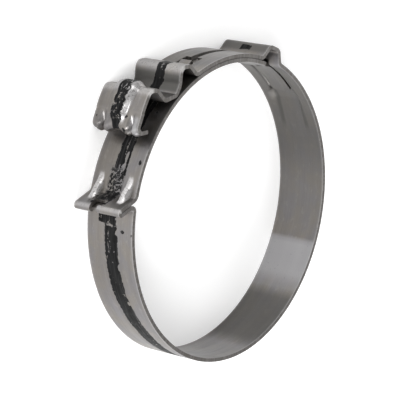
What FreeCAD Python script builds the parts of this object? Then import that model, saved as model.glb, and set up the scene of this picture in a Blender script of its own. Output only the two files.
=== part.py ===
import FreeCAD, Part
import math
import os

V = FreeCAD.Vector

# Strip stock
band_width = 9.0
strip_thickness = 0.6
layer_clearance = 0.08

# Ring: bore radius of the single layer, and the tighter arc about the origin that starts below the hook
bore_radius = 24.3
lap_arc_ratio = 0.9743
lap_arc_start_deg = 190.0
shoulder_deg = 67.0
shoulder_corner = 0.9

# Tongue at the inner end, lying in a channel pressed outward in the ring
tongue_width = 3.8
tongue_tip_deg = 40.0
tongue_tip_corner = 0.9
tongue_step_run = 4.08
tongue_step_foot = 0.69
tongue_bend = 3.0
tongue_lead = 0.7
channel_side_clearance = 0.4
channel_low_deg = 21.0
channel_settle_deg = 2.0
channel_bend = 4.5
channel_edge_round = 0.35

# Ring hook: a doubled fold that leans away from the closing plate
hook_root_deg = 164.55
hook_lean_deg = 33.4
hook_reach = 4.4
hook_leaf_gap = 0.1
hook_top_bend = 1.2
hook_under_bend = 0.7

# Windows in the two leaves of the fold, the notch in its tip, and the two ribs pressed in the upper bend;
# shifts are across the band from its middle
window_width = 2.95
window_shift = -0.13
window_lead = 0.3
window_corner = 0.4
lower_window_width = 1.6
lower_window_lead = 0.6
tip_land = 0.75
tip_gap_width = 1.45
tip_gap_shift = -0.72
hook_rib_spacing = 6.1
hook_rib_width = 1.25
hook_rib_round = 0.45
hook_rib_low_deg = 159.2
hook_rib_out = 2.15
hook_recess_width = 0.55

# Rear hump, where the ring steps out onto the lapped layer: along the band, and out of it
rear_hump_deg = 66.0
rear_hump_foot = 2.15
rear_hump_crest = 1.2
rear_hump_height = 1.92
rear_hump_lean = 0.15
rear_hump_bend = 0.7

# Middle hump, the ear that the closing tool bears on
ear_deg = 117.0
ear_back_foot = 2.8
ear_back_crest = 2.15
ear_back_height = 2.05
ear_front_crest = 0.37
ear_front_height = 2.99
ear_knee = 1.28
ear_knee_height = 0.72
ear_front_foot = 2.65
ear_bend = 0.75

# Front hump, plate and claw: along the band from the frame line, out of the ring, and down from the crown
plate_deg = 137.0
plate_height = 5.35
valley_back = 3.29
valley_height = 1.5
crown_back = 3.46
crown_back_drop = 1.21
crown_front = 2.42
plate_middle = 0.1
plate_middle_drop = 0.38
claw_forward = 4.29
claw_drop = 1.68
lip_forward = 2.5
lip_drop = 3.63
crown_bend = 0.8
plate_bend = 6.0
claw_bend = 0.9

# Rib along the plate, and the two darts pressed in the claw bend
plate_rib_width = 4.2
plate_rib_height = 0.9
plate_rib_flank = 0.85
plate_rib_lead = 1.15
plate_rib_share = 0.74
plate_groove_width = 2.1
plate_groove_lead = 0.6
dart_spacing = 5.6
dart_width = 1.5
dart_round = 0.5
dart_plate_reach = 2.8
dart_lip_reach = 2.0

# Guide slot in the outer layer and the lanced tab that stands up in it
slot_window_width = 3.3
slot_window_low_deg = 98.5
slot_window_high_deg = 105.5
slot_neck_width = 1.3
slot_neck_low_deg = 80.0
tab_width = 2.1
tab_root_deg = 108.0
tab_bend_deg = 105.0
tab_end_deg = 102.8
tab_rise = 0.95
tab_thickness = 0.5

half = strip_thickness / 2.0
mid_width = band_width / 2.0
layer_step = strip_thickness + layer_clearance
ring_mid = bore_radius + half
lap_centre = V(0.0, 0.0, 0.0)
lap_radius = bore_radius * lap_arc_ratio
lap_mid = lap_radius + half
outer_mid = lap_mid + layer_step
channel_width = tongue_width + 2.0 * channel_side_clearance


def unit(deg):
    return V(math.cos(math.radians(deg)), math.sin(math.radians(deg)), 0.0)


def around(origin, radius, deg):
    return origin + unit(deg) * radius


def meet(p, d, q, e):
    # crossing point of the line through p along d and the line through q along e
    cross = d.x * e.y - d.y * e.x
    along = ((q.x - p.x) * e.y - (q.y - p.y) * e.x) / cross
    return p + d * along


def arc_run(origin, radius, start_deg, end_deg):
    # corners whose bends, all of the same radius, make one true arc
    pieces = int(math.ceil(abs(end_deg - start_deg) / 50.0))
    turn = (end_deg - start_deg) / pieces
    reach = radius / math.cos(math.radians(turn / 2.0))
    return [(around(origin, reach, start_deg + turn * (k + 0.5)), radius) for k in range(pieces)]


def local(origin, radius, deg, along, out):
    return around(origin, radius + out, deg) + unit(deg + 90.0) * along


def side_edges(start, corners, end, offset):
    # one side of the strip: the path shifted to its left by the offset
    points = [start] + [c[0] for c in corners] + [end]
    edges = []
    here = None
    for k in range(1, len(points)):
        d = (points[k] - points[k - 1]).normalize()
        n = V(-d.y, d.x, 0.0)
        if here is None:
            here = points[k - 1] + n * offset
        if k == len(points) - 1:
            edges.append(Part.LineSegment(here, points[k] + n * offset).toShape())
            break
        e = (points[k + 1] - points[k]).normalize()
        turn = math.atan2(d.x * e.y - d.y * e.x, d.x * e.x + d.y * e.y)
        radius = corners[k - 1][1]
        side = 1.0 if turn > 0.0 else -1.0
        back = radius * math.tan(abs(turn) / 2.0)
        first = points[k] - d * back + n * offset
        if (first - here).Length > 1e-5:
            edges.append(Part.LineSegment(here, first).toShape())
        else:
            first = here
        m = V(-e.y, e.x, 0.0)
        last = points[k] + e * back + m * offset
        hub = points[k] - d * back + n * (side * radius)
        spoke = ((n + m) * (-side)).normalize()
        middle = hub + spoke * (radius - side * offset)
        edges.append(Part.Arc(first, middle, last).toShape())
        here = last
    return edges


def strip(start, corners, end, low, high, z0, z1):
    # the strip as a solid, from the low to the high offset of its path
    left = side_edges(start, corners, end, high)
    right = side_edges(start, corners, end, low)
    a = right[0].Vertexes[0].Point
    b = left[0].Vertexes[0].Point
    c = left[-1].Vertexes[-1].Point
    d = right[-1].Vertexes[-1].Point
    caps = [Part.LineSegment(a, b).toShape(), Part.LineSegment(c, d).toShape()]
    wire = Part.Wire(Part.__sortEdges__(left + right + caps))
    return Part.Face(wire).extrude(V(0.0, 0.0, z1 - z0)).translated(V(0.0, 0.0, z0))


def sector(origin, r0, r1, deg0, deg1, width):
    # a curved block centred across the band
    mid = (deg0 + deg1) / 2.0
    outer = Part.Arc(around(origin, r1, deg0), around(origin, r1, mid), around(origin, r1, deg1)).toShape()
    inner = Part.Arc(around(origin, r0, deg0), around(origin, r0, mid), around(origin, r0, deg1)).toShape()
    cap0 = Part.LineSegment(around(origin, r0, deg0), around(origin, r1, deg0)).toShape()
    cap1 = Part.LineSegment(around(origin, r0, deg1), around(origin, r1, deg1)).toShape()
    wire = Part.Wire(Part.__sortEdges__([outer, cap1, inner, cap0]))
    block = Part.Face(wire).extrude(V(0.0, 0.0, width))
    return block.translated(V(0.0, 0.0, mid_width - width / 2.0))


def matching_edges(solid, edges, heights):
    # the edges of the solid that lie over the given flat edges at the given heights
    found = []
    for e in solid.Edges:
        m = e.valueAt((e.FirstParameter + e.LastParameter) / 2.0)
        for w in edges:
            q = w.valueAt((w.FirstParameter + w.LastParameter) / 2.0)
            if any((q + V(0.0, 0.0, h) - m).Length < 1e-3 for h in heights):
                found.append(e)
    return found


def prism(points, width, z_mid, crest_round):
    # a flat-sided block; its crest, the side between the first two points, has rounded edges
    low = z_mid - width / 2.0
    face = Part.Face(Part.makePolygon(points + [points[0]]))
    block = face.extrude(V(0.0, 0.0, width)).translated(V(0.0, 0.0, low))
    if crest_round > 0.0:
        crest = Part.LineSegment(points[0], points[1]).toShape()
        block = block.makeFillet(crest_round, matching_edges(block, [crest], [low, low + width]))
    return block


# The wider arc of the single layer runs on from the tighter one where it starts below the hook
centre = unit(lap_arc_start_deg) * (lap_radius - bore_radius)

# Path of the full-width strip, from the shoulder of the inner end round to the lip of the claw
path = []
path_start = around(lap_centre, lap_mid, shoulder_deg)
hook_top_deg = hook_root_deg - 2.0
path += arc_run(lap_centre, lap_mid, shoulder_deg, hook_top_deg)

hook_dir = unit(hook_root_deg + hook_lean_deg)
hook_side = V(-hook_dir.y, hook_dir.x, 0.0)
leaf_pitch = strip_thickness + hook_leaf_gap
upper_root = meet(
    around(lap_centre, lap_mid, hook_top_deg), unit(hook_top_deg + 90.0),
    around(lap_centre, lap_mid, hook_root_deg), hook_dir,
)
hook_low_deg = hook_root_deg + 6.1
lower_root = meet(
    around(lap_centre, lap_mid, hook_low_deg), unit(hook_low_deg + 90.0),
    upper_root + hook_side * leaf_pitch, hook_dir,
)
tip_reach = hook_reach - half
upper_tip = upper_root + hook_dir * tip_reach
lower_tip = upper_tip + hook_side * leaf_pitch
path.append((upper_root, hook_top_bend))
path.append((upper_tip, leaf_pitch / 2.0))
path.append((lower_tip, leaf_pitch / 2.0))
path.append((lower_root, hook_under_bend))

ring_end_deg = rear_hump_deg - 6.3
path += arc_run(lap_centre, lap_mid, hook_low_deg, lap_arc_start_deg)
path += arc_run(centre, ring_mid, lap_arc_start_deg, 360.0 + ring_end_deg)
rear = (centre, ring_mid, rear_hump_deg)
rear_crest_high = local(*rear, -rear_hump_crest + rear_hump_lean, rear_hump_height)
rear_crest_low = local(*rear, rear_hump_crest + rear_hump_lean, rear_hump_height)
rear_flank = (rear_crest_high - local(*rear, -rear_hump_foot, 0.0)).normalize()
rear_foot = meet(
    around(centre, ring_mid, ring_end_deg), unit(ring_end_deg + 90.0),
    rear_crest_high, rear_flank,
)
outer_start_deg = rear_hump_deg + 6.0
rear_landing = meet(
    around(lap_centre, outer_mid, outer_start_deg), unit(outer_start_deg + 90.0),
    rear_crest_low, unit(rear_hump_deg + 152.0),
)
path.append((rear_foot, rear_hump_bend))
path.append((rear_crest_high, rear_hump_bend))
path.append((rear_crest_low, rear_hump_bend))
path.append((rear_landing, rear_hump_bend))

ear = (lap_centre, outer_mid, ear_deg)
outer_end_deg = ear_deg - 9.3
path += arc_run(lap_centre, outer_mid, outer_start_deg, outer_end_deg)
ear_foot = meet(
    around(lap_centre, outer_mid, outer_end_deg), unit(outer_end_deg + 90.0),
    local(*ear, -ear_back_foot, 0.0), unit(ear_deg + 15.0),
)
path.append((ear_foot, ear_bend))
path.append((local(*ear, -ear_back_crest, ear_back_height), ear_bend))
path.append((local(*ear, -ear_front_crest, ear_front_height), ear_bend))
path.append((local(*ear, ear_knee, ear_knee_height), 2.0))
path.append((local(*ear, ear_front_foot, -0.03), ear_bend))

plate = (centre, ring_mid, plate_deg)
crown_corner = local(*plate, -crown_front, plate_height)
plate_corner = local(*plate, -plate_middle, plate_height - plate_middle_drop)
claw_corner = local(*plate, claw_forward, plate_height - claw_drop)
lip_end = local(*plate, lip_forward, plate_height - lip_drop)
path.append((local(*plate, -valley_back, valley_height), crown_bend))
path.append((local(*plate, -crown_back, plate_height - crown_back_drop), crown_bend))
path.append((crown_corner, crown_bend))
path.append((plate_corner, plate_bend))
path.append((claw_corner, claw_bend))
band = strip(path_start, path, lip_end, -half, half, 0.0, band_width)

# Shoulder corners of the full-width length, rounded where it narrows to the tongue
for z in (0.0, band_width):
    side = 1.0 if z < mid_width else -1.0
    p = path_start
    d = unit(shoulder_deg + 90.0)
    n = unit(shoulder_deg) * (half + 0.3)
    a = p - n - d * 0.5 + V(0.0, 0.0, z - side * 0.5)
    b = p - n + d * shoulder_corner + V(0.0, 0.0, z - side * 0.5)
    c = p - n + d * shoulder_corner + V(0.0, 0.0, z)
    e = p - n + V(0.0, 0.0, z + side * shoulder_corner)
    f = p - n - d * 0.5 + V(0.0, 0.0, z + side * shoulder_corner)
    wedge = Part.Face(Part.makePolygon([a, b, c, e, f, a])).extrude(n * 2.0)
    band = band.cut(wedge)

# Channel in the ring, full depth at the rear hump and running out at its low end
channel_high_deg = rear_hump_deg - 4.0
channel_mid = ring_mid + layer_step
channel_ramp_deg = math.degrees(math.acos(ring_mid / channel_mid))
channel_full_deg = channel_low_deg + channel_ramp_deg + channel_settle_deg
channel_start = around(centre, ring_mid, channel_low_deg)
channel_end = around(centre, channel_mid, channel_high_deg)
channel_knee = meet(
    channel_start, unit(channel_low_deg + 90.0),
    around(centre, channel_mid, channel_full_deg), unit(channel_full_deg + 90.0),
)
channel_path = [(channel_knee, channel_bend)]
channel_path += arc_run(centre, channel_mid, channel_full_deg, channel_high_deg - 1.0)
skin_width = channel_width + 2.0 * strip_thickness
skin_low_z = mid_width - skin_width / 2.0
room_low_z = mid_width - channel_width / 2.0
channel_skin = strip(channel_start, channel_path, channel_end, -half, half + layer_step,
                     skin_low_z, skin_low_z + skin_width)
skin_crest = side_edges(channel_start, channel_path, channel_end, -half)
skin_edges = matching_edges(channel_skin, skin_crest, [skin_low_z, skin_low_z + skin_width])
channel_skin = channel_skin.makeFillet(channel_edge_round, skin_edges)
bore = Part.makeCylinder(bore_radius + half, band_width, centre)
channel_skin = channel_skin.cut(bore)
channel_room = strip(channel_start, channel_path, channel_end, half, half + 1.6,
                     room_low_z, room_low_z + channel_width)
passage = sector(centre, bore_radius - 0.2, bore_radius + layer_step,
                 channel_high_deg - 0.5, rear_hump_deg - 0.5, channel_width)
band = band.fuse(channel_skin)
band = band.cut(channel_room.fuse(passage))

# Window in each leaf of the ring hook, in line at their near edges, and the notch in its folded tip
window_high_z = mid_width + window_shift + window_width / 2.0
window_end = hook_reach - tip_land


def leaf_block(reach_low, reach_high, side_low, side_high, z_low, z_high):
    # a block square to the leaves, given along them, through them and across the band
    outline = [
        upper_root + hook_dir * reach_low + hook_side * side_low,
        upper_root + hook_dir * reach_high + hook_side * side_low,
        upper_root + hook_dir * reach_high + hook_side * side_high,
        upper_root + hook_dir * reach_low + hook_side * side_high,
    ]
    face = Part.Face(Part.makePolygon(outline + [outline[0]]))
    return face.extrude(V(0.0, 0.0, z_high - z_low)).translated(V(0.0, 0.0, z_low))


def rounded_block(block, radius):
    # the same block with the four edges that run through the leaf rounded
    through = [e for e in block.Edges if abs(e.tangentAt(e.FirstParameter).dot(hook_side)) > 0.99]
    return block.makeFillet(radius, through)


upper_window = leaf_block(window_lead, window_end, -half - 0.6, leaf_pitch / 2.0,
                          window_high_z - window_width, window_high_z)
lower_window = leaf_block(lower_window_lead, window_end, leaf_pitch / 2.0, leaf_pitch + half + 0.15,
                          window_high_z - lower_window_width, window_high_z)
gap_mid_z = mid_width + tip_gap_shift
tip_notch = leaf_block(window_end - 0.6, hook_reach + 0.6, -half - 0.6, leaf_pitch + half + 0.6,
                       gap_mid_z - tip_gap_width / 2.0, gap_mid_z + tip_gap_width / 2.0)
band = band.cut(rounded_block(upper_window, window_corner))
band = band.cut(rounded_block(lower_window, window_corner))
band = band.cut(tip_notch)

# Ribs that stiffen the upper bend of the hook, hollow from the bore side
rib_low = around(lap_centre, lap_mid + half - 0.02, hook_rib_low_deg)
rib_high = upper_root + hook_dir * hook_rib_out - hook_side * (half - 0.02)
rib_heel = upper_root + hook_side * (half * 0.3)
rib_foot = around(lap_centre, lap_mid, hook_rib_low_deg)
rib_toe = upper_root + hook_dir * hook_rib_out
recess_low = around(lap_centre, lap_mid - half - 0.05, hook_rib_low_deg + 1.4)
recess_high = upper_root + hook_dir * 1.1 + hook_side * half
recess_heel = upper_root + hook_dir * 0.2 + hook_side * (half + 0.25)
for z in (mid_width - hook_rib_spacing / 2.0, mid_width + hook_rib_spacing / 2.0):
    hook_rib = prism([rib_low, rib_high, rib_toe, rib_heel, rib_foot], hook_rib_width, z, hook_rib_round)
    recess = prism([recess_low, recess_high, recess_heel], hook_recess_width, z, 0.0)
    band = band.fuse(hook_rib)
    band = band.cut(recess)

# Rib over the crown and along the plate, with sloped sides, and its groove on the inner side
rib_corners = [(crown_corner, crown_bend), (plate_corner, plate_bend)]
rib_start = crown_corner + (path[-4][0] - crown_corner).normalize() * plate_rib_lead
rib_end = plate_corner + (claw_corner - plate_corner) * plate_rib_share
rib_low_z = mid_width - plate_rib_width / 2.0
groove_low_z = mid_width - plate_groove_width / 2.0
rib_bar = strip(rib_start, rib_corners, rib_end, -half - plate_rib_height, -half + 0.1,
                rib_low_z, rib_low_z + plate_rib_width)
rib_crest = side_edges(rib_start, rib_corners, rib_end, -half - plate_rib_height)
rib_edges = matching_edges(rib_bar, rib_crest, [rib_low_z, rib_low_z + plate_rib_width])
rib_bar = rib_bar.makeChamfer(plate_rib_flank, rib_edges)
for p, q in ((rib_start, crown_corner), (rib_end, plate_corner)):
    inward = (q - p).normalize()
    out = V(0.0, 0.0, 1.0).cross(inward) * (1.0 if p is rib_end else -1.0)
    foot = p + out * half - inward * 0.05
    top = foot + out * (plate_rib_height + 0.1)
    rib_bar = rib_bar.cut(prism([foot, top, top + inward * plate_rib_flank], band_width, mid_width, 0.0))
groove_start = rib_start + (crown_corner - rib_start).normalize() * plate_groove_lead
groove_end = rib_end + (plate_corner - rib_end).normalize() * plate_groove_lead
groove = strip(groove_start, rib_corners, groove_end, half - plate_rib_height, half + 0.3,
               groove_low_z, groove_low_z + plate_groove_width)
band = band.fuse(rib_bar)
band = band.cut(groove)

# Darts across the claw bend: pressed in from outside, standing as ribs inside
plate_dir = (plate_corner - claw_corner).normalize()
lip_dir = (lip_end - claw_corner).normalize()
outward = (plate_dir + lip_dir).normalize() * (-1.0)
plate_out = V(plate_dir.y, -plate_dir.x, 0.0)
if plate_out.dot(outward) < 0.0:
    plate_out = plate_out * (-1.0)
lip_out = V(lip_dir.y, -lip_dir.x, 0.0)
if lip_out.dot(outward) < 0.0:
    lip_out = lip_out * (-1.0)
outer_corner = claw_corner + outward * (half / math.sin(lip_dir.getAngle(plate_dir) / 2.0))
inner_corner = claw_corner - outward * (half / math.sin(lip_dir.getAngle(plate_dir) / 2.0))
dart_high = outer_corner + plate_dir * dart_plate_reach
dart_low = outer_corner + lip_dir * dart_lip_reach
dart_skew = (dart_high - dart_low).cross(V(0.0, 0.0, 1.0)).normalize()
if dart_skew.dot(outward) > 0.0:
    dart_skew = dart_skew * (-1.0)
bead_shift = dart_skew * strip_thickness
for z in (mid_width - dart_spacing / 2.0, mid_width + dart_spacing / 2.0):
    bead_outline = [dart_low + bead_shift, dart_high + bead_shift, dart_high + bead_shift * 0.5,
                    claw_corner + outward * (-0.9), dart_low + bead_shift * 0.5]
    band = band.fuse(prism(bead_outline, dart_width + 0.7, z, 0.3))
    band = band.cut(prism([dart_high, dart_low, outer_corner + outward * 0.5], dart_width, z, dart_round))

# Guide slot: a wide window for the tab with a narrow neck behind it
slot_r0 = lap_mid + half + layer_clearance * 0.5
slot_r1 = outer_mid + half + 0.6
slot = sector(lap_centre, slot_r0, slot_r1, slot_window_low_deg, slot_window_high_deg, slot_window_width)
neck = sector(lap_centre, slot_r0, slot_r1, slot_neck_low_deg, slot_window_low_deg + 1.0, slot_neck_width)
band = band.cut(slot.fuse(neck))

# Lanced tab of the inner layer, raised through the wide window, and the opening it leaves
opening = sector(lap_centre, lap_mid - half - 0.3, slot_r0, tab_end_deg - 0.6,
                 tab_root_deg - 0.8, tab_width + 0.4)
band = band.cut(opening)
tab_path = [
    (around(lap_centre, lap_mid, tab_bend_deg), 0.6),
]
tab = strip(around(lap_centre, lap_mid + tab_rise, tab_end_deg), tab_path,
            around(lap_centre, lap_mid, tab_root_deg + 0.2), -tab_thickness / 2.0, tab_thickness / 2.0,
            mid_width - tab_width / 2.0, mid_width + tab_width / 2.0)
band = band.fuse(tab)

# Tongue, from its rounded tip in the channel to the shoulder of the inner layer
tongue_flat_deg = shoulder_deg - math.degrees(tongue_step_run / ring_mid)
tongue_corners = arc_run(centre, ring_mid, tongue_tip_deg, tongue_flat_deg)
tongue_foot = around(centre, ring_mid, tongue_flat_deg) + unit(tongue_flat_deg + 90.0) * tongue_step_foot
tongue_corners.append((tongue_foot, tongue_bend))
tongue_corners.append((path_start - unit(shoulder_deg + 90.0) * tongue_lead, tongue_bend))
tongue = strip(around(centre, ring_mid, tongue_tip_deg), tongue_corners, path_start, -half, half,
               mid_width - tongue_width / 2.0, mid_width + tongue_width / 2.0)
tip_line = Part.LineSegment(around(centre, ring_mid - half, tongue_tip_deg),
                            around(centre, ring_mid + half, tongue_tip_deg)).toShape()
tip_corners = matching_edges(tongue, [tip_line],
                             [mid_width - tongue_width / 2.0, mid_width + tongue_width / 2.0])
tongue = tongue.makeFillet(tongue_tip_corner, tip_corners)
band = band.fuse(tongue)

clamp_band = max(band.removeSplitter().Solids, key=lambda s: s.Volume)

os.makedirs("parts", exist_ok=True)
clamp_band.exportStep("parts/clamp_band.step")
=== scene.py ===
import math

import bmesh
import bpy
from mathutils import Matrix, Vector


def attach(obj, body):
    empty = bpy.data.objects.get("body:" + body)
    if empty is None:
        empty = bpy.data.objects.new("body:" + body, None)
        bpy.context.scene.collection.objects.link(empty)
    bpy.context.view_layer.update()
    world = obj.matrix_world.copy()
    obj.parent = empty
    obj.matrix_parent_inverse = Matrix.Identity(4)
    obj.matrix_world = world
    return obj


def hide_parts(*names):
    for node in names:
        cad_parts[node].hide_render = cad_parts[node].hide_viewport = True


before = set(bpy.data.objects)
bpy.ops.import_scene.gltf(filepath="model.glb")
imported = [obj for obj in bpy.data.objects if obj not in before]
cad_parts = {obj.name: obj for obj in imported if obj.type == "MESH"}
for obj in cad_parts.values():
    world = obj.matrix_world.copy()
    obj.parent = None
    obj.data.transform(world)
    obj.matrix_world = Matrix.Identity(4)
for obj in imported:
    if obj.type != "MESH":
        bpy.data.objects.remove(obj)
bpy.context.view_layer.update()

# Sizes of the strip and of the ring, in millimetres
WIDTH = 9.0
EDGE = WIDTH / 2
THICK = 0.6
EDGE_BREAK = 0.09
GAP = 0.08
STEP = THICK + GAP
BORE = 24.3
LAP_SHARE = 0.9743
LAP = BORE * LAP_SHARE
RING_MID = BORE + THICK / 2
LAP_MID = LAP + THICK / 2
OUTER_MID = LAP_MID + STEP
ORIGIN = Vector((0, 0, 0))

# Places and slopes round the ring, in degrees
TONGUE_TIP = 40.0
SHOULDER = 67.0
UPPER_FOOT = 162.55
HOOK = 164.55
LOWER_FOOT = 170.65
BELOW_HOOK = 173.5
HOOK_LEAN = 33.4
LAP_END = 190.0
REAR_HUMP = 66.0
REAR_FOOT = 59.7
REAR_FRONT_SLOPE = 218.0
OUTER_START = 72.0
OUTER_MARK = 76.0
OUTER_END = 107.7
EAR = 117.0
EAR_BACK_SLOPE = 132.0
PLATE = 137.0
CHANNEL_START = 21.0
CHANNEL_RUN = 14.5

# Ring hook, tongue and channel, in millimetres
HOOK_REACH = 4.4
HOOK_PITCH = THICK + 0.1
RAMP_BACK = 4.08
RAMP_LEAD = 0.69
SHOULDER_RAMP = 0.7
CHANNEL_HALF = 2.0
CHANNEL_FLANK = 0.45
CHANNEL_SETTLE = 0.18
TONGUE_HALF = 1.9
END_ROUND = 0.9

# Openings, in millimetres: a window as its start out of the root and its lowest and highest offset,
# the notch as the two offsets, the slot, its neck, the tab and its slit as half widths
UPPER_WINDOW = (2.15, -1.605, 0.75)
LOWER_WINDOW = (1.35, -0.255, 1.345)
TIP_NOTCH = (-1.445, 0.0)
SLOT_HALF = 1.605
NECK_HALF = 0.65
TAB_HALF = 1.05
SLIT_HALF = 1.25
TAB_RISE = 0.95

# Pressed forms, in millimetres: offset to either side, half width, width of the flank
HOOK_RIB = (2.88, 0.7, 0.52)
DART = (2.8, 0.8, 0.62)
DART_SHARE = 0.75
CLAW_LOBE = (2.75, 1.6, 0.8)
LOBE_HANG = 0.32
CLAW_DIP = (0.0, 1.2, 0.8)
DIP_RISE = 0.28
PLATE_RIB_HEIGHT = 0.9
CLAW_STEP_DEPTH = 0.07

# Bend radii on the middle line of the strip, in millimetres
PLAIN_BEND = 0.95
TIGHT_BEND = 0.9
VALLEY_BEND = 2.0
UPPER_ROOT_BEND = 1.2
LOWER_ROOT_BEND = 0.7
CROWN_BOW = 6.0
RAMP_BEND = 3.0


def unit(deg):
    return Vector((math.cos(math.radians(deg)), math.sin(math.radians(deg)), 0))


RING_CENTRE = unit(LAP_END) * (LAP - BORE)


def around(hub, radius, deg):
    return hub + unit(deg) * radius


def along_band(hub, radius, deg):
    """A place on a band and the way forward along it there."""
    return around(hub, radius, deg), unit(deg + 90)


def meet(p, d, q, e):
    """Where the line through p along d crosses the line through q along e."""
    return p + d * (((q.x - p.x) * e.y - (q.y - p.y) * e.x) / (d.x * e.y - d.y * e.x))


def arc_corners(hub, radius, first, last):
    """Corners whose bends follow an arc from the first to the last angle."""
    count = math.ceil(abs(last - first) / 50)
    turn = (last - first) / count
    reach = radius / math.cos(math.radians(turn / 2))
    return [(around(hub, reach, first + turn * (k + 0.5)), radius) for k in range(count)]


def off_band(hub, radius, deg, forward, out):
    """A place given as millimetres forward along the band and out of it, seen from the angle."""
    return around(hub, radius + out, deg) + unit(deg + 90) * forward


def tongue_corners():
    """The tongue on the ring's circle and the ramp that lifts it to the inner layer at the shoulder."""
    flat = SHOULDER - math.degrees(RAMP_BACK / RING_MID)
    ramp_foot = off_band(RING_CENTRE, RING_MID, flat, RAMP_LEAD, 0.0)
    ramp_top = off_band(ORIGIN, LAP_MID, SHOULDER, -SHOULDER_RAMP, 0.0)
    tongue = arc_corners(RING_CENTRE, RING_MID, TONGUE_TIP, flat)
    return tongue + [(ramp_foot, RAMP_BEND), (ramp_top, RAMP_BEND)]


def hook_places():
    """Roots and tips of the two leaves of the ring hook, and the way that they lean."""
    lean = unit(HOOK + HOOK_LEAN)
    side = Vector((-lean.y, lean.x, 0))
    upper_root = meet(*along_band(ORIGIN, LAP_MID, UPPER_FOOT), around(ORIGIN, LAP_MID, HOOK), lean)
    lower_root = meet(*along_band(ORIGIN, LAP_MID, LOWER_FOOT), upper_root + side * HOOK_PITCH, lean)
    upper_tip = upper_root + lean * (HOOK_REACH - THICK / 2)
    return lean, side, upper_root, upper_tip, upper_tip + side * HOOK_PITCH, lower_root


def rear_hump_corners():
    rear = (RING_CENTRE, RING_MID, REAR_HUMP)
    crest_a = off_band(*rear, -1.05, 1.92)
    crest_b = off_band(*rear, 1.35, 1.92)
    flank = crest_a - off_band(*rear, -2.15, 0.0)
    foot = meet(*along_band(RING_CENTRE, RING_MID, REAR_FOOT), crest_a, flank.normalized())
    landing = meet(*along_band(ORIGIN, OUTER_MID, OUTER_START), crest_b, unit(REAR_FRONT_SLOPE))
    return [(foot, PLAIN_BEND), (crest_a, TIGHT_BEND), (crest_b, TIGHT_BEND), (landing, PLAIN_BEND)]


def ear_corners():
    ear = (ORIGIN, OUTER_MID, EAR)
    foot = meet(*along_band(ORIGIN, OUTER_MID, OUTER_END), off_band(*ear, -2.8, 0.0), unit(EAR_BACK_SLOPE))
    return [
        (foot, TIGHT_BEND),
        (off_band(*ear, -2.15, 2.05), TIGHT_BEND),
        (off_band(*ear, -0.37, 2.99), PLAIN_BEND),
        (off_band(*ear, 1.28, 0.72), VALLEY_BEND),
        (off_band(*ear, 2.65, -0.03), PLAIN_BEND),
    ]


def plate_corners():
    """The front hump and the closing plate, then the end of the claw lip."""
    plate = (RING_CENTRE, RING_MID, PLATE)
    corners = [
        (off_band(*plate, -3.29, 1.5), PLAIN_BEND),
        (off_band(*plate, -3.46, 4.14), PLAIN_BEND),
        (off_band(*plate, -2.42, 5.35), PLAIN_BEND),
        (off_band(*plate, -0.1, 4.97), CROWN_BOW),
        (off_band(*plate, 4.29, 3.67), TIGHT_BEND),
    ]
    return corners, off_band(*plate, 2.5, 1.72)


def lay_out(start, corners, end):
    """The middle line as a list of straight runs and true bends."""
    points = [start] + [c[0] for c in corners] + [end]
    here = points[0]
    travelled = 0.0
    parts = []
    for k in range(1, len(points)):
        d = (points[k] - points[k - 1]).normalized()
        if k == len(points) - 1:
            length = (points[k] - here).dot(d)
            parts.append(dict(kind="run", at=travelled, length=length, p=here, d=d))
            break
        e = (points[k + 1] - points[k]).normalized()
        turn = math.atan2(d.x * e.y - d.y * e.x, d.dot(e))
        radius = corners[k - 1][1]
        back = radius * math.tan(abs(turn) / 2)
        first = points[k] - d * back
        length = (first - here).dot(d)
        if length > 1e-4:
            parts.append(dict(kind="run", at=travelled, length=length, p=here, d=d))
            travelled += length
        left = Vector((-d.y, d.x, 0))
        hub = first + left * math.copysign(radius, turn)
        length = radius * abs(turn)
        parts.append(dict(kind="bend", at=travelled, length=length, p=first, d=d, hub=hub, turn=turn))
        travelled += length
        here = points[k] + e * back
    return parts


def place(parts, s):
    """Point on the middle line at the distance s, and the way out of the ring there."""
    part = parts[0]
    for q in parts:
        if q["at"] <= s + 1e-9:
            part = q
    t = s - part["at"]
    if part["kind"] == "run":
        return part["p"] + part["d"] * t, Vector((part["d"].y, -part["d"].x, 0))
    turned = Matrix.Rotation(part["turn"] * t / part["length"], 3, "Z")
    d = turned @ part["d"]
    return part["hub"] + turned @ (part["p"] - part["hub"]), Vector((d.y, -d.x, 0))


def distance_to(parts, point, after=0.0):
    """Distance along the middle line of the place nearest to the point, past the given distance."""
    best = (1e9, 0.0)
    for q in parts:
        steps = max(2, math.ceil(q["length"] / 0.05))
        for k in range(steps + 1):
            s = q["at"] + q["length"] * k / steps
            if s >= after:
                gap = (place(parts, s)[0] - point).length
                best = min(best, (gap, s))
    return best[1]


LEAN, HOOK_SIDE, UPPER_ROOT, UPPER_TIP, LOWER_TIP, LOWER_ROOT = hook_places()
REAR_CORNERS = rear_hump_corners()
EAR_CORNERS = ear_corners()
PLATE_CORNERS, LIP_END = plate_corners()
LINE = lay_out(
    around(RING_CENTRE, RING_MID, TONGUE_TIP),
    tongue_corners()
    + arc_corners(ORIGIN, LAP_MID, SHOULDER, UPPER_FOOT)
    + [(UPPER_ROOT, UPPER_ROOT_BEND), (UPPER_TIP, HOOK_PITCH / 2)]
    + [(LOWER_TIP, HOOK_PITCH / 2), (LOWER_ROOT, LOWER_ROOT_BEND)]
    + arc_corners(ORIGIN, LAP_MID, LOWER_FOOT, LAP_END)
    + arc_corners(RING_CENTRE, RING_MID, LAP_END, 360 + REAR_FOOT)
    + REAR_CORNERS
    + arc_corners(ORIGIN, OUTER_MID, OUTER_START, OUTER_END)
    + EAR_CORNERS
    + PLATE_CORNERS,
    LIP_END,
)
TOTAL = LINE[-1]["at"] + LINE[-1]["length"]

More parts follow.
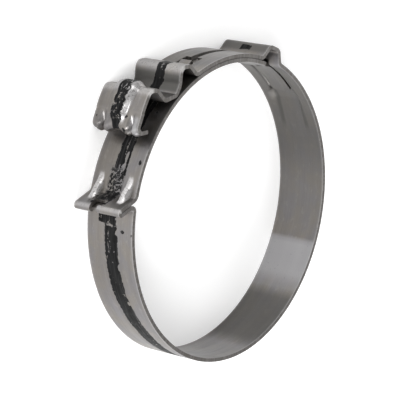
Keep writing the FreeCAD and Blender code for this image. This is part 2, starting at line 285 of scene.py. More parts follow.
# Distances along the strip, in millimetres from the tongue tip
S_SHOULDER = distance_to(LINE, around(ORIGIN, LAP_MID, SHOULDER))
S_HOOK = distance_to(LINE, UPPER_ROOT)
S_UPPER_TIP = distance_to(LINE, UPPER_TIP - LEAN * 0.45)
S_LOWER_TIP = distance_to(LINE, LOWER_TIP - LEAN * 0.45, S_UPPER_TIP + 0.6)
S_BELOW = distance_to(LINE, around(ORIGIN, LAP_MID, BELOW_HOOK), S_LOWER_TIP)
S_UPPER_WINDOW = distance_to(LINE, UPPER_ROOT + LEAN * UPPER_WINDOW[0])
S_LOWER_WINDOW = distance_to(LINE, UPPER_ROOT + LEAN * LOWER_WINDOW[0] + HOOK_SIDE * 0.7, S_LOWER_TIP)
S_RING = distance_to(LINE, around(ORIGIN, LAP_MID, LAP_END), S_LOWER_TIP)


def inner_at(deg):
    """Distance along the strip of a place on the inner layer of the lap."""
    return S_SHOULDER + math.radians(deg - SHOULDER) * LAP_MID


def ring_at(deg):
    """Distance along the strip of a place on the single-layer ring, counted on past 360 degrees."""
    return S_RING + math.radians(deg - LAP_END) * RING_MID


S_REAR_FOOT = ring_at(360 + REAR_FOOT)
S_OUTER = distance_to(LINE, around(ORIGIN, OUTER_MID, OUTER_MARK), S_REAR_FOOT)


def outer_at(deg):
    """Distance along the strip of a place on the outer layer of the lap."""
    return S_OUTER + math.radians(deg - OUTER_MARK) * OUTER_MID


S_REAR = distance_to(LINE, REAR_CORNERS[2][0], S_REAR_FOOT)
S_EAR = distance_to(LINE, EAR_CORNERS[2][0], outer_at(100))
S_CROWN = distance_to(LINE, PLATE_CORNERS[2][0], outer_at(107))
S_PLATE = distance_to(LINE, PLATE_CORNERS[3][0], outer_at(107))
S_CLAW = distance_to(LINE, PLATE_CORNERS[4][0], outer_at(107))
PLATE_WAY = (PLATE_CORNERS[4][0] - PLATE_CORNERS[3][0]).normalized()

TAB_FREE, TAB_MOUTH, TAB_ROOT = inner_at(102.2), inner_at(102.8), inner_at(107.2)
NECK_START, SLOT_START, SLOT_END = outer_at(80.0), outer_at(98.5), outer_at(105.5)
CHANNEL_END = S_REAR_FOOT + 0.9


def ease(x):
    x = min(1.0, max(0.0, x))
    return x * x * (3 - 2 * x)


def plateau(x, half, flank):
    """1 in the middle, falling to 0 at half, over the width of the flank."""
    return 1.0 - ease((abs(x) - half + flank) / flank)


def across_form(u, form):
    """Share of a form that is pressed alike at both sides of the middle."""
    offset, half, flank = form
    return plateau(abs(u) - offset, half, flank)


def channel_depth(s):
    """How far the channel for the tongue stands out of the ring."""
    deg = LAP_END + math.degrees((s - S_RING) / RING_MID) - 360.0
    if deg < CHANNEL_START:
        return 0.0
    rise = RING_MID * (1 / math.cos(math.radians(min(deg - CHANNEL_START, CHANNEL_RUN))) - 1)
    over = rise - STEP
    settled = 0.5 * (CHANNEL_SETTLE * CHANNEL_SETTLE) / (abs(over) + CHANNEL_SETTLE)
    return STEP + 0.5 * (over - math.sqrt(over * over + CHANNEL_SETTLE * CHANNEL_SETTLE)) + settled


def channel_height(s, u):
    """The channel; its creases are softer past the tongue, most of all the far one."""
    past_tongue = ease((ring_at(402.5) - s) / 2.4)
    flank = CHANNEL_FLANK + (0.45 if u > 0 else 1.85) * past_tongue
    fade = 1.0 - ease((s - CHANNEL_END) / 0.6)
    return channel_depth(s) * plateau(u, CHANNEL_HALF + flank, flank) * fade


def plate_rib_height(s, u):
    """The rib in the middle of the closing plate, narrower towards the claw."""
    first, last = S_CROWN - 2.1, S_CLAW - 1.0
    along = ease((s - first) / 1.2) * ease((last - s) / 1.1)
    slim = ease((s - S_CROWN) / (last - S_CROWN))
    return PLATE_RIB_HEIGHT * along * plateau(u, 2.4 - 1.15 * slim, 1.15 - 0.45 * slim)


def pressed(s, u):
    """Height that the press tools gave the strip at the distance s and the offset u from its middle."""
    height = 0.0
    if ring_at(375.0) < s < CHANNEL_END + 0.6:
        height += channel_height(s, u)
    if S_CROWN - 2.1 < s < S_CLAW - 1.0:
        height += plate_rib_height(s, u)
    claw_step = S_CLAW - 2.85
    if s > claw_step and abs(u) > 1.45:
        height -= CLAW_STEP_DEPTH * ease((s - claw_step) / 0.1) * (1 - ease((s - S_CLAW + 1.2) / 1.0))
    return height


def roll_out(bm, offsets, stops, longest):
    """Sweeps the cross line of the strip along its middle line, through straight runs and bends."""
    along = bm.verts.layers.float.new("along")
    across = bm.verts.layers.float.new("across")
    made = bmesh.ops.create_vert(bm, co=place(LINE, 0.0)[0] + Vector((0, 0, EDGE + offsets[0])))
    tip = made["vert"][0]
    tip[across] = offsets[0]
    row_verts = [tip]
    row_edges = []
    for a, b in zip(offsets, offsets[1:]):
        made = bmesh.ops.extrude_vert_indiv(bm, verts=[tip])
        tip = made["verts"][0]
        row_edges += made["edges"]
        bmesh.ops.translate(bm, verts=[tip], vec=(0, 0, b - a))
        tip[across] = b
        row_verts.append(tip)
    for part in LINE:
        cuts = [s for s in stops if part["at"] + 0.02 < s < part["at"] + part["length"] - 0.02]
        marks = [part["at"]] + sorted(cuts) + [part["at"] + part["length"]]
        for a, b in zip(marks, marks[1:]):
            count = max(1, math.ceil((b - a) / longest(part, (a + b) / 2)))
            for k in range(count):
                if part["kind"] == "run":
                    row_verts, row_edges = draw_row(bm, row_edges, part["d"] * ((b - a) / count))
                else:
                    angle = part["turn"] * ((b - a) / count) / part["length"]
                    row_verts, row_edges = bend_row(bm, row_verts + row_edges, part["hub"], angle)
                for v in row_verts:
                    v[along] = a + (b - a) * (k + 1) / count
    return along, across


def draw_row(bm, row_edges, step):
    made = bmesh.ops.extrude_edge_only(bm, edges=row_edges)["geom"]
    verts = [g for g in made if isinstance(g, bmesh.types.BMVert)]
    edges = [g for g in made if isinstance(g, bmesh.types.BMEdge) and not g.is_manifold
             and g.verts[0] in verts and g.verts[1] in verts]
    bmesh.ops.translate(bm, verts=verts, vec=step)
    return verts, edges


def bend_row(bm, row, hub, angle):
    made = bmesh.ops.spin(bm, geom=row, cent=hub, axis=(0, 0, 1), dvec=(0, 0, 0), angle=angle, steps=1,
                          use_duplicate=False)["geom_last"]
    verts = [g for g in made if isinstance(g, bmesh.types.BMVert)]
    edges = [g for g in made if isinstance(g, bmesh.types.BMEdge)]
    return verts, edges


# What is sheared or punched out: first and last distance, lowest and highest offset
OPENINGS = [
    (0.0, S_SHOULDER, TONGUE_HALF, EDGE),
    (0.0, S_SHOULDER, -EDGE, -TONGUE_HALF),
    (S_UPPER_WINDOW, S_UPPER_TIP, UPPER_WINDOW[1], UPPER_WINDOW[2]),
    (S_LOWER_TIP, S_LOWER_WINDOW, LOWER_WINDOW[1], LOWER_WINDOW[2]),
    (S_UPPER_TIP - 0.02, S_LOWER_TIP + 0.02, TIP_NOTCH[0], TIP_NOTCH[1]),
    (SLOT_START, SLOT_END, -SLOT_HALF, SLOT_HALF),
    (NECK_START, SLOT_START, -NECK_HALF, NECK_HALF),
    (TAB_FREE, TAB_ROOT, TAB_HALF, SLIT_HALF),
    (TAB_FREE, TAB_ROOT, -SLIT_HALF, -TAB_HALF),
    (TAB_FREE, TAB_MOUTH, -SLIT_HALF, SLIT_HALF),
]


def cut_openings(bm, along, across):
    """Shears the outline of the tongue and punches the windows, the slot and the slit round the tab."""
    gone = []
    for f in bm.faces:
        s = sum(v[along] for v in f.verts) / len(f.verts)
        u = sum(v[across] for v in f.verts) / len(f.verts)
        if any(first < s < last and low < u < high for first, last, low, high in OPENINGS):
            gone.append(f)
    bmesh.ops.delete(bm, geom=gone, context="FACES")


def rounding(s):
    """What the round corners of an end add to its half width at s past the end: 0 or less."""
    return math.sqrt(max(0.0, END_ROUND ** 2 - (END_ROUND - s) ** 2)) - END_ROUND


def round_ends(bm, along, across):
    """Rounds the tongue tip and the shoulders by drawing the strip in towards its middle."""
    for v in bm.verts:
        s, u = v[along], v[across]
        if s < END_ROUND:
            v.co.z += u * ((TONGUE_HALF + rounding(s)) / TONGUE_HALF - 1)
        elif -0.01 < s - S_SHOULDER < END_ROUND and abs(u) > TONGUE_HALF:
            reach = EDGE + rounding(s - S_SHOULDER)
            drawn = TONGUE_HALF + (abs(u) - TONGUE_HALF) * (reach - TONGUE_HALF) / (EDGE - TONGUE_HALF)
            v.co.z += (drawn - abs(u)) * math.copysign(1.0, u)


def press_forms(bm, along, across):
    """Presses the channel, the plate rib, the hook ribs, the claw with its darts and the raised tab."""
    rib_a, rib_b = inner_at(158.1), S_HOOK + 2.3
    rib_low, rib_high = place(LINE, rib_a)[0], place(LINE, rib_b)[0]
    dart_a, dart_b = S_CLAW - 2.7, TOTAL - 0.2
    dart_high, dart_low = place(LINE, dart_a)[0], place(LINE, dart_b)[0]
    tab_end = inner_at(107.3)
    for v in bm.verts:
        s, u = v[along], v[across]
        flat = Vector((v.co.x, v.co.y, 0))
        out = place(LINE, s)[1]
        move = out * pressed(s, u)
        if rib_a < s < rib_b:
            t = (s - rib_a) / (rib_b - rib_a)
            rib = across_form(u, HOOK_RIB) * ease(min(t, 1 - t) * 9)
            move += (rib_low.lerp(rib_high, t) - flat) * rib
        if dart_a < s < dart_b:
            t = (s - dart_a) / (dart_b - dart_a)
            move += (dart_high.lerp(dart_low, t) - flat) * across_form(u, DART) * DART_SHARE
        if s > S_CLAW - 2.4:
            hang = LOBE_HANG * across_form(u, CLAW_LOBE) - DIP_RISE * across_form(u, CLAW_DIP)
            move += PLATE_WAY * hang * ease((s - S_CLAW + 2.4) / 1.8)
        if inner_at(102.5) < s < tab_end and abs(u) < 1.1:
            move += out * TAB_RISE * ease((tab_end - s) / (tab_end - TAB_MOUTH))
        v.co += move


def painted(within, first, last, middle, half, narrow=(0.0, 0.0, 1.0), fade=0.0):
    """A painted length: the stretch it may show in, its ends, its middle line as (distance, offset), its
    half width, how much it narrows from where over which length, and how far it fades out with that."""
    return dict(within=within, first=first, last=last, middle=middle, half=half, narrow=narrow, fade=fade)


ANYWHERE = (0.0, TOTAL)
POOL = (inner_at(112), inner_at(160))
STRIPES = [
    painted((S_BELOW, ring_at(330)), ring_at(175.9), ring_at(330),
            [(ring_at(200), 0.24), (ring_at(213), 0.66), (ring_at(224), 1.12), (ring_at(262), 1.5)],
            1.3, (0.5, ring_at(262), 26.0), 0.45),
    # black marking under the hook's lower leaf, widened to stand in for the shade in the corner there:
    # partly painted shade
    painted((S_LOWER_TIP + 2.2, ring_at(175.5)), S_LOWER_TIP + 1.5, ring_at(175.5), [(0, -0.55)], 1.8),
    painted(POOL, inner_at(112), inner_at(153.2), [(0, 0.33)], 1.2),
    painted(POOL, inner_at(150), inner_at(155.2), [(0, -0.45)], 0.42),
    painted(POOL, inner_at(150), inner_at(155.0), [(0, 0.35)], 0.3),
    painted(POOL, inner_at(150), inner_at(157.5), [(0, 1.35)], 0.2),
    painted((inner_at(160), S_UPPER_TIP), S_HOOK - 0.35, S_UPPER_TIP + 1.0,
            [(S_HOOK, 0.05), (S_UPPER_TIP, -0.55)], 1.45),
    painted(ANYWHERE, S_CROWN - 2.3, S_CLAW + 0.3, [(S_CROWN, 0.25), (S_CLAW, 0.0)],
            1.1, (0.25, S_CROWN, 4.0)),
    painted(ANYWHERE, S_EAR - 1.6, S_EAR + 5.9, [(S_EAR, 0.55), (S_EAR + 5.5, -0.1)], 0.95),
    painted(ANYWHERE, S_REAR + 0.45, S_REAR + 1.5, [(0, 0.2)], 1.05),
]

# Drops of marking and bare chips in it: distance, offset, half length, half width
FLECKS = [
    (inner_at(151.5), 3.65, 0.4, 0.3), (ring_at(177.6), 2.45, 0.28, 0.4), (ring_at(178.3), 4.3, 0.25, 0.2),
    (S_CLAW - 1.5, -4.05, 0.3, 0.22), (S_CLAW - 2.0, 1.7, 0.25, 0.25), (S_CLAW - 0.3, 1.75, 0.3, 0.3),
    (inner_at(131.0), 2.6, 0.3, 0.3),
]
CHIPS = [
    (ring_at(178.3), 1.5, 0.4, 0.45), (ring_at(191.3), 1.5, 0.5, 0.35), (ring_at(181.5), -0.35, 1.5, 0.07),
    (ring_at(206.3), 1.5, 0.4, 0.2), (ring_at(176.2), 0.0, 0.16, 0.7),
    (inner_at(146.0), 0.4, 1.3, 0.16), (inner_at(150.3), 0.95, 0.8, 0.22),
]


def stripe_reach(stripe, s, u):
    """Signed distance from the edge of a painted length, positive inside it."""
    points = stripe["middle"]
    middle = points[0][1]
    for (a, b), (c, d) in zip(points, points[1:]):
        if s > a:
            middle = b + (d - b) * ease((s - a) / (c - a))
    by, start, over = stripe["narrow"]
    narrowed = ease((s - start) / over)
    side = stripe["half"] - by * narrowed - abs(u - middle)
    ends = min(s - stripe["first"], stripe["last"] - s) * 1.4
    return min(side, ends) - stripe["fade"] * narrowed


def marking_reach(s, u):
    """Signed distance in millimetres from the edge of the black marking, positive inside it."""
    best = -2.0
    for stripe in STRIPES:
        if stripe["within"][0] < s < stripe["within"][1]:
            best = max(best, stripe_reach(stripe, s, u))
    for at, offset, long, wide in FLECKS:
        if abs(s - at) < 2:
            best = max(best, wide * (1 - math.hypot((s - at) / long, (u - offset) / wide)))
    for at, offset, long, wide in CHIPS:
        if abs(s - at) < 3:
            best = min(best, 1.6 * min(long, wide) * (math.hypot((s - at) / long, (u - offset) / wide) - 1))
    return best


def smear_share(s, u):
    """How much of the place is under smeared, blotchy marking, from 0 to 1."""
    pooled = plateau(s - inner_at(160.2), 2.7, 0.9) * plateau(u - 0.05, 1.75, 0.6)
    leaf = plateau(s - S_HOOK - 1.9, 1.8, 0.8) * plateau(u + 1.7, 1.3, 0.7)
    return max(pooled, 0.85 * leaf)


def wear_and_highlight_share(s, u):
    """How far tools and handling have burnished the place, together with painted highlights on the crests,
    the hook ribs, the plate rib's flank, the darts, the hook tip and the rims, and a painted glint on the
    lower window's cut edge, from 0 to 1.
    """
    crest = plateau(s - S_EAR, 0.8, 0.6) + plateau(s - S_CROWN, 1.0, 0.7)
    hook_ribs = plateau(abs(u) - 2.9, 0.6, 0.35) * plateau(s - S_HOOK + 0.3, 3.0, 0.8)
    rib_flank = plateau(u - 1.75 + 0.14 * (s - S_CROWN), 0.55, 0.35) * plateau(s - S_PLATE - 0.4, 3.2, 1.0)
    darts = plateau(u + 3.25, 0.4, 0.3) + plateau(u - 2.35, 0.4, 0.3)
    darts *= plateau(s - S_CLAW + 0.9, 1.5, 0.5)
    # painted glint on the far cut edge of the lower window
    window_edge_glint = plateau(u + 0.255, 0.12, 0.05) * plateau(s - S_LOWER_TIP - 1.2, 1.25, 0.1)
    tip = plateau(s - (S_UPPER_TIP + S_LOWER_TIP) / 2 + 0.35, 0.35, 0.3)
    rim = ease((abs(u) - 4.2) / 0.3)
    return min(1.0, 0.4 * crest + hook_ribs + rib_flank + 0.2 * darts + 0.4 * tip + 0.4 * rim + window_edge_glint)


# Painted light on the inner face of the ring: angle, then brighter as a painted reflection (to 1) and
# duller as painted shade (to -1)
INNER_PAINTED_LIGHT = [
    (-130, 0.0), (-105, 0.45), (-84, 0.4), (-74, -0.8), (-52, -0.75), (-45.5, 0.35), (-39, 0.95),
    (-26.6, 1.0), (-24.4, -0.1), (-8, -0.4), (20, -0.65), (58, -0.7), (60, 0.0),
]


def inner_painted_light(s, u):
    """Painted reflection (up to 1) and painted shade (down to -1) on the inside of the ring, against the
    plain rolled finish.
    """
    deg = math.degrees((s - S_RING) / RING_MID) + LAP_END - 360.0
    tone = 0.0
    for (a, x), (b, y) in zip(INNER_PAINTED_LIGHT, INNER_PAINTED_LIGHT[1:]):
        if a <= deg < b:
            tone = x + (y - x) * ease((deg - a) / (b - a))
    # painted shade over the tongue, as dark as the shaded ring beside it
    if s < S_SHOULDER + 2.0:
        tone = -0.65 * ease((S_SHOULDER + 2.0 - s) / 2.0)
    # painted shade along the creases of the channel
    if CHANNEL_START - 1 < deg < 60:
        tone -= 0.35 * ease((deg - CHANNEL_START + 1) / 4.0) * plateau(abs(u) - 2.35, 0.6, 0.45)
    return tone


def outer_painted_light(s, u):
    """The same for the outside: painted shade on the flanks of the humps and over the outer layer, a
    painted highlight on the claw.
    """
    humps = 0.85 * plateau(s - S_REAR + 0.7, 2.9, 0.9) + plateau(s - S_EAR - 2.4, 1.9, 0.8)
    layer = 0.35 * plateau(s - outer_at(91), 7.0, 1.5)
    claw = 0.8 * plateau(s - S_CLAW + 0.9, 1.5, 0.6) * plateau(u - 3.2, 1.2, 0.5)
    return max(-1.0, claw - humps - layer)


def worn_share(s, u):
    """Where the marking has flaked: over the plate, the middle ear and the hook."""
    plate = plateau(s - S_PLATE, 3.4, 1.0)
    ear = plateau(s - S_EAR, 1.0, 0.6)
    hook = plateau(s - S_HOOK - 1.2, 2.0, 0.8)
    return min(1.0, plate + 0.6 * ear + 0.6 * hook)


SURFACE_FIELDS = {
    "marking": marking_reach, "smear": smear_share, "wear_and_highlight": wear_and_highlight_share, "worn": worn_share,
    "inner_painted_light": inner_painted_light, "outer_painted_light": outer_painted_light,
}

# Colours of the finishes, linear
WARM_STEEL = (0.222, 0.206, 0.188, 1)
COOL_STEEL = (0.205, 0.199, 0.206, 1)
ROLLED_STREAK = (0.155, 0.145, 0.134, 1)
PALE_MOTTLE = (0.29, 0.275, 0.262, 1)
# Painted highlight and painted shade, laid into the colour by the painted-light fields
PAINTED_HIGHLIGHT_STEEL = (0.345, 0.34, 0.347, 1)
PAINTED_SHADE_STEEL = (0.1, 0.097, 0.092, 1)
PITTED_STEEL = (0.09, 0.085, 0.08, 1)
# Burnished steel, also used for painted highlights
BURNISHED_AND_HIGHLIGHT_STEEL = (0.56, 0.55, 0.55, 1)
WET_MARKING = (0.002, 0.002, 0.0022, 1)
DRY_MARKING = (0.014, 0.014, 0.0145, 1)
BREAK_GRAIN = (0.17, 0.16, 0.15, 1)
SHEAR_GRAIN = (0.24, 0.23, 0.222, 1)
# Bright cut edge, also a painted highlight and painted glint
BRIGHT_CUT_AND_GLINT = (0.85, 0.84, 0.82, 1)
FLOOR_PALE = (0.98, 0.98, 0.98, 1)


class Finish:
    """A short way to write the nodes of a finish."""

    def __init__(self, name):
        self.material = bpy.data.materials.new(name)
        self.material.use_nodes = True
        self.tree = self.material.node_tree
        self.surface = self.tree.nodes["Principled BSDF"]

    def put(self, kind, **sockets):
        node = self.tree.nodes.new(kind)
        for key, value in sockets.items():
            self.feed(node.inputs[key.replace("_", " ")], value)
        return node

    def feed(self, socket, value):
        if isinstance(value, bpy.types.NodeSocket):
            self.tree.links.new(value, socket)
        else:
            socket.default_value = value

    def reading(self, name):
        """One of the surface fields that the mesh carries."""
        node = self.tree.nodes.new("ShaderNodeAttribute")
        node.attribute_name = name
        return node.outputs["Fac"]

    def math(self, how, a, b=0.0, clamp=False):
        node = self.tree.nodes.new("ShaderNodeMath")
        node.operation = how
        node.use_clamp = clamp
        self.feed(node.inputs[0], a)
        self.feed(node.inputs[1], b)
        return node.outputs[0]

    def span(self, value, low, high, out_low=0.0, out_high=1.0):
        node = self.tree.nodes.new("ShaderNodeMapRange")
        node.interpolation_type = "SMOOTHSTEP"
        for key, x in (("Value", value), ("From Min", low), ("From Max", high),
                       ("To Min", out_low), ("To Max", out_high)):
            self.feed(node.inputs[key], x)
        return node.outputs["Result"]

    def strip_noise(self, along, across, detail, rough, seed):
        """Noise stretched on the strip: features per centimetre along and across it."""
        uv = self.tree.nodes.new("ShaderNodeUVMap")
        uv.uv_map = "strip"
        mapping = self.put("ShaderNodeMapping", Vector=uv.outputs["UV"], Scale=(along, across, 1.0),
                           Location=(seed, seed * 0.7, seed))
        noise = self.put("ShaderNodeTexNoise", Vector=mapping.outputs["Vector"], Scale=1.0,
                         Detail=detail, Roughness=rough)
        return noise.outputs["Fac"]

    def blend(self, share, a, b):
        node = self.tree.nodes.new("ShaderNodeMix")
        node.data_type = "RGBA"
        self.feed(node.inputs["Factor"], share)
        self.feed(node.inputs["A"], a)
        self.feed(node.inputs["B"], b)
        return node.outputs["Result"]

    def settle(self, settings):
        for key, value in settings.items():
            self.feed(self.surface.inputs[key], value)
        return self.material


def rolled_steel(name, marked, seed):
    """Satin stainless strip, rolled lengthwise; the outer face also carries the black marking."""
    steel = Finish(name)
    fine = steel.strip_noise(1.6, 75.0, 4.0, 0.6, seed)
    broad = steel.strip_noise(0.5, 9.0, 3.0, 0.5, seed + 3.0)
    cloud = steel.strip_noise(2.2, 3.0, 4.0, 0.6, seed + 7.0)
    grit = steel.strip_noise(30.0, 34.0, 2.0, 0.6, seed + 11.0)
    mottle = steel.strip_noise(7.0, 12.0, 3.0, 0.6, seed + 13.0)
    wear_and_highlight = steel.reading("wear_and_highlight")
    painted_light = steel.reading("outer_painted_light" if marked else "inner_painted_light")
    streak = steel.math("ADD", steel.math("MULTIPLY", fine, 0.55), steel.math("MULTIPLY", broad, 0.45))

    tone = steel.blend(steel.span(cloud, 0.35, 0.65), WARM_STEEL, COOL_STEEL)
    tone = steel.blend(steel.span(streak, 0.36, 0.64, 0.0, 0.42), tone, ROLLED_STREAK)
    tone = steel.blend(steel.span(mottle, 0.55, 0.72, 0.0, 0.4), tone, PALE_MOTTLE)
    # painted highlight and painted shade
    tone = steel.blend(steel.math("MULTIPLY", painted_light, 1.0, True), tone, PAINTED_HIGHLIGHT_STEEL)
    tone = steel.blend(steel.math("MULTIPLY", painted_light, -1.0, True), tone, PAINTED_SHADE_STEEL)
    tone = steel.blend(steel.span(grit, 0.66, 0.74, 0.0, 0.45), tone, PITTED_STEEL)
    # burnished wear together with painted highlights and a painted glint
    tone = steel.blend(steel.math("MULTIPLY", wear_and_highlight, steel.span(grit, 0.22, 0.5)), tone, BURNISHED_AND_HIGHLIGHT_STEEL)
    rough = steel.span(streak, 0.35, 0.65, 0.30, 0.40)
    rough = steel.math("ADD", rough, steel.span(cloud, 0.3, 0.7, -0.03, 0.05))
    rough = steel.math("SUBTRACT", rough, steel.math("MULTIPLY", wear_and_highlight, 0.1))
    height = steel.math("ADD", steel.math("MULTIPLY", fine, 0.5), steel.math("MULTIPLY", mottle, 0.7))
    metal = 1.0
    if marked:
        cover, black, matt = black_marking(steel, seed)
        bare = steel.math("SUBTRACT", 1.0, cover)
        tone = steel.blend(cover, tone, black)
        rough = steel.math("ADD", steel.math("MULTIPLY", rough, bare), steel.math("MULTIPLY", matt, cover))
        metal = bare
        height = steel.math("ADD", height, steel.math("MULTIPLY", cover, 0.9))

    bump = steel.put("ShaderNodeBump", Strength=0.35, Distance=0.00002, Height=height)
    rolling = steel.tree.nodes.new("ShaderNodeTangent")
    rolling.direction_type = "UV_MAP"
    rolling.uv_map = "strip"
    return steel.settle({
        "Base Color": tone, "Roughness": rough, "Metallic": metal, "Anisotropic": 0.7,
        "Anisotropic Rotation": 0.25, "Specular IOR Level": 0.1, "Normal": bump.outputs["Normal"],
        "Tangent": rolling.outputs["Tangent"],
    })


def black_marking(steel, seed):
    """How far the marking covers the steel, ragged, chipped and smeared, with its colour and roughness."""
    ragged = steel.strip_noise(9.0, 9.0, 4.0, 0.65, seed + 17.0)
    thin = steel.strip_noise(1.3, 26.0, 3.0, 0.6, seed + 23.0)
    flakes = steel.strip_noise(16.0, 16.0, 3.0, 0.6, seed + 29.0)
    blotch = steel.strip_noise(19.0, 25.0, 3.0, 0.65, seed + 31.0)
    fray = steel.math("MULTIPLY", steel.math("SUBTRACT", ragged, 0.5), 0.95)
    cover = steel.span(steel.math("ADD", steel.reading("marking"), fray), -0.02, 0.07)
    worn = steel.math("MULTIPLY", steel.reading("worn"), steel.span(flakes, 0.555, 0.61, 0.0, 0.85))
    chips = steel.math("MAXIMUM", steel.span(flakes, 0.65, 0.69), worn)
    missing = steel.math("MAXIMUM", steel.span(thin, 0.60, 0.70, 0.0, 0.3), chips)
    cover = steel.math("MULTIPLY", cover, steel.math("SUBTRACT", 1.0, missing))
    smeared = steel.math("MULTIPLY", steel.reading("smear"), steel.span(blotch, 0.42, 0.5))
    cover = steel.math("MAXIMUM", cover, smeared)
    black = steel.blend(steel.span(thin, 0.4, 0.6), WET_MARKING, DRY_MARKING)
    return cover, black, steel.span(ragged, 0.3, 0.7, 0.45, 0.6)


def sheared_edge(seed):
    """The cut edge of the strip: half smooth shear, half grainy break, bright where it is burnished most
    and where painted highlights and a painted glint lie.
    """
    steel = Finish("sheared_edge")
    grain = steel.strip_noise(26.0, 26.0, 3.0, 0.6, seed)
    patch = steel.strip_noise(3.0, 3.0, 2.0, 0.5, seed + 5.0)
    edge_wear_and_glint = steel.math("MULTIPLY", steel.reading("wear_and_highlight"), 1.7)
    tone = steel.blend(steel.span(grain, 0.35, 0.65), BREAK_GRAIN, SHEAR_GRAIN)
    # bright burnish, painted highlights and painted glint on the cut edge
    tone = steel.blend(steel.math("SUBTRACT", edge_wear_and_glint, 0.7, True), tone, BRIGHT_CUT_AND_GLINT)
    bump = steel.put("ShaderNodeBump", Strength=0.4, Distance=0.00003, Height=grain)
    return steel.settle({
        "Base Color": tone, "Roughness": steel.span(patch, 0.3, 0.7, 0.34, 0.5), "Metallic": 1.0,
        "Normal": bump.outputs["Normal"],
    })


def strip_offsets():
    """Offsets of the columns of the strip's mesh, from one edge to the other, finer over the forms."""
    at_cuts = [-LOWER_WINDOW[1], NECK_HALF, UPPER_WINDOW[2], TAB_HALF, SLIT_HALF, LOWER_WINDOW[2],
               -TIP_NOTCH[0], SLOT_HALF, TONGUE_HALF]
    over_forms = [2.05 + 0.15 * k for k in range(12)]
    half = sorted([0.45, 0.9, 1.75, 3.9, 4.1, 4.3, EDGE] + at_cuts + over_forms)
    return [-x for x in reversed(half)] + [0.0] + half


def strip_stops():
    """Distances at which a row of the mesh has to lie."""
    rounded = [0.04, 0.12, 0.25, 0.45, END_ROUND]
    shoulder = [S_SHOULDER] + [S_SHOULDER + x for x in rounded]
    return rounded + shoulder + [
        TAB_FREE, TAB_MOUTH, TAB_ROOT, S_UPPER_WINDOW, S_UPPER_TIP, S_LOWER_TIP, S_LOWER_WINDOW,
        S_CLAW - 2.85, S_CLAW - 2.75, NECK_START, SLOT_START, SLOT_END, ring_at(381.0), ring_at(395.0),
    ]


def longest_row(part, s):
    """Longest step between two rows: short in the tight bends, long on the plain part of the ring."""
    if part["kind"] == "bend" and part["length"] / abs(part["turn"]) < 10:
        return max(0.07, 0.14 * part["length"] / abs(part["turn"]))
    if ring_at(262) < s < ring_at(378):
        return 0.7
    return 0.3


def fold_band():
    """The whole clamp: one strip rolled, punched, pressed and folded."""
    bm = bmesh.new()
    along, across = roll_out(bm, strip_offsets(), strip_stops(), longest_row)
    cut_openings(bm, along, across)
    round_ends(bm, along, across)
    press_forms(bm, along, across)
    bmesh.ops.delete(bm, geom=[v for v in bm.verts if not v.link_faces], context="VERTS")
    bmesh.ops.remove_doubles(bm, verts=bm.verts, dist=1e-5)
    bmesh.ops.recalc_face_normals(bm, faces=bm.faces)
    bm.faces.ensure_lookup_table()
    tongue_face = bm.faces[0]
    if tongue_face.normal.dot(place(LINE, tongue_face.verts[0][along])[1]) < 0:
        bmesh.ops.reverse_faces(bm, faces=bm.faces)
    for name, field in SURFACE_FIELDS.items():
        layer = bm.verts.layers.float.new(name)
        for v in bm.verts:
            v[layer] = field(v[along], v[across])
    uv = bm.loops.layers.uv.new("strip")
    for f in bm.faces:
        f.smooth = True
        for loop in f.loops:
            loop[uv].uv = (loop.vert[along] / 10, (loop.vert[across] + EDGE) / 10)
    bmesh.ops.scale(bm, vec=(0.001, 0.001, 0.001), verts=bm.verts)
    mesh = bpy.data.meshes.new("folded_band")
    bm.to_mesh(mesh)
    bm.free()
    piece = bpy.data.objects.new("folded_band", mesh)
    bpy.context.scene.collection.objects.link(piece)
    mesh.materials.append(rolled_steel("marked_outer_steel", True, 0.0))
    mesh.materials.append(rolled_steel("inner_steel", False, 40.0))
    mesh.materials.append(sheared_edge(60.0))
    give_gauge(piece)
    return piece


def give_gauge(piece):
    """The thickness of the strip, with a broken edge."""
    wall = piece.modifiers.new("gauge", "SOLIDIFY")
    wall.thickness = THICK * 0.001
    wall.offset = 0.0
    wall.use_even_offset = True
    wall.use_quality_normals = True
    wall.material_offset = 1
    wall.material_offset_rim = 2
    edge = piece.modifiers.new("edge_break", "BEVEL")
    edge.width = EDGE_BREAK * 0.001
    edge.segments = 2
    edge.limit_method = "ANGLE"
    edge.angle_limit = math.radians(50)
    edge.harden_normals = True


band = fold_band()
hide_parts("clamp_band")
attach(band, "root")


# Floor and room, in metres where they are lengths
FLOOR_HALF = 3.0
FLOOR_DROP = 0.00003
FLOOR_GLOW = 0.14
ROOM_LIGHT = 0.6


def pale_floor():
    """Pale floor, a little brighter to the camera and in reflections, that lights nothing more."""
    floor = Finish("pale_floor")
    seen = floor.tree.nodes.new("ShaderNodeLightPath").outputs
    direct = seen["Is Camera Ray"]
    for ray in ("Is Glossy Ray", "Is Transmission Ray"):
        direct = floor.math("MAXIMUM", direct, seen[ray])
    return floor.settle({
        "Base Color": FLOOR_PALE, "Roughness": 0.9, "Emission Color": (1, 1, 1, 1),
        "Emission Strength": floor.math("MULTIPLY", direct, FLOOR_GLOW),
    })


def lay_floor():
    bm = bmesh.new()
    bmesh.ops.create_grid(bm, x_segments=1, y_segments=1, size=FLOOR_HALF)
    bmesh.ops.translate(bm, verts=bm.verts, vec=(0, 0, -FLOOR_DROP))
    mesh = bpy.data.meshes.new("floor")
    bm.to_mesh(mesh)
    bm.free()
    floor = bpy.data.objects.new("floor", mesh)
    bpy.context.scene.collection.objects.link(floor)
    mesh.materials.append(pale_floor())


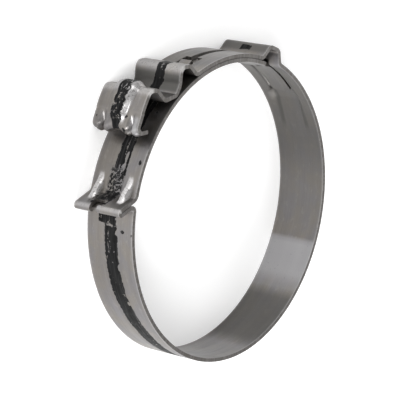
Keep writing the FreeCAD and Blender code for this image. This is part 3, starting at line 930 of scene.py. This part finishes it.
# Soft boxes, in metres and watts: name, angle round the clamp, height, size, power
SOFT_BOXES = [
    ("side_box_a", 112.0, 0.2, (0.3, 0.34), 0.55),
    ("side_box_b", 20.0, 0.22, (0.34, 0.3), 1.1),
    ("side_box_c", 262.0, 0.2, (0.34, 0.3), 2.3),
    ("side_box_d", 184.0, 0.28, (0.34, 0.3), 2.4),
]
BOX_DISTANCE = 0.5
CLAMP_MIDDLE = Vector((0, 0, 0.004))


def light_studio():
    world = bpy.data.worlds.new("studio")
    world.use_nodes = True
    room = world.node_tree.nodes["Background"].inputs
    room["Color"].default_value = (1, 1, 1, 1)
    room["Strength"].default_value = ROOM_LIGHT
    bpy.context.scene.world = world
    for name, turn, height, size, power in SOFT_BOXES:
        light = bpy.data.lights.new(name, "AREA")
        light.shape = "RECTANGLE"
        light.size, light.size_y = size
        light.energy = power
        lamp = bpy.data.objects.new(name, light)
        bpy.context.scene.collection.objects.link(lamp)
        lamp.location = unit(turn) * BOX_DISTANCE + Vector((0, 0, height))
        lamp.rotation_mode = "QUATERNION"
        lamp.rotation_quaternion = (CLAMP_MIDDLE - lamp.location).to_track_quat("-Z", "Y")


# Camera, fitted to the two rims of the ring in the photo
EYE = (-0.25987, 0.08662, 0.2122)
VIEW_RIGHT = Vector((0.6231, 0, 0.7821))
VIEW_BACK = Vector((-0.757, 0.2514, 0.603))
LENS = 192.906
SHIFT = (-0.032, 0.010575)


def set_camera():
    data = bpy.data.cameras.new("camera")
    data.sensor_width = 36.0
    data.lens = LENS
    data.shift_x, data.shift_y = SHIFT
    data.clip_start = 0.01
    data.clip_end = 20.0
    cam = bpy.data.objects.new("camera", data)
    bpy.context.scene.collection.objects.link(cam)
    right = VIEW_RIGHT.normalized()
    back = VIEW_BACK.normalized()
    up = back.cross(right).normalized()
    turned = Matrix((right, up, back)).transposed().to_4x4()
    cam.matrix_world = Matrix.Translation(EYE) @ turned
    bpy.context.scene.camera = cam


lay_floor()
light_studio()
set_camera()
bpy.context.scene.view_settings.view_transform = "Standard"
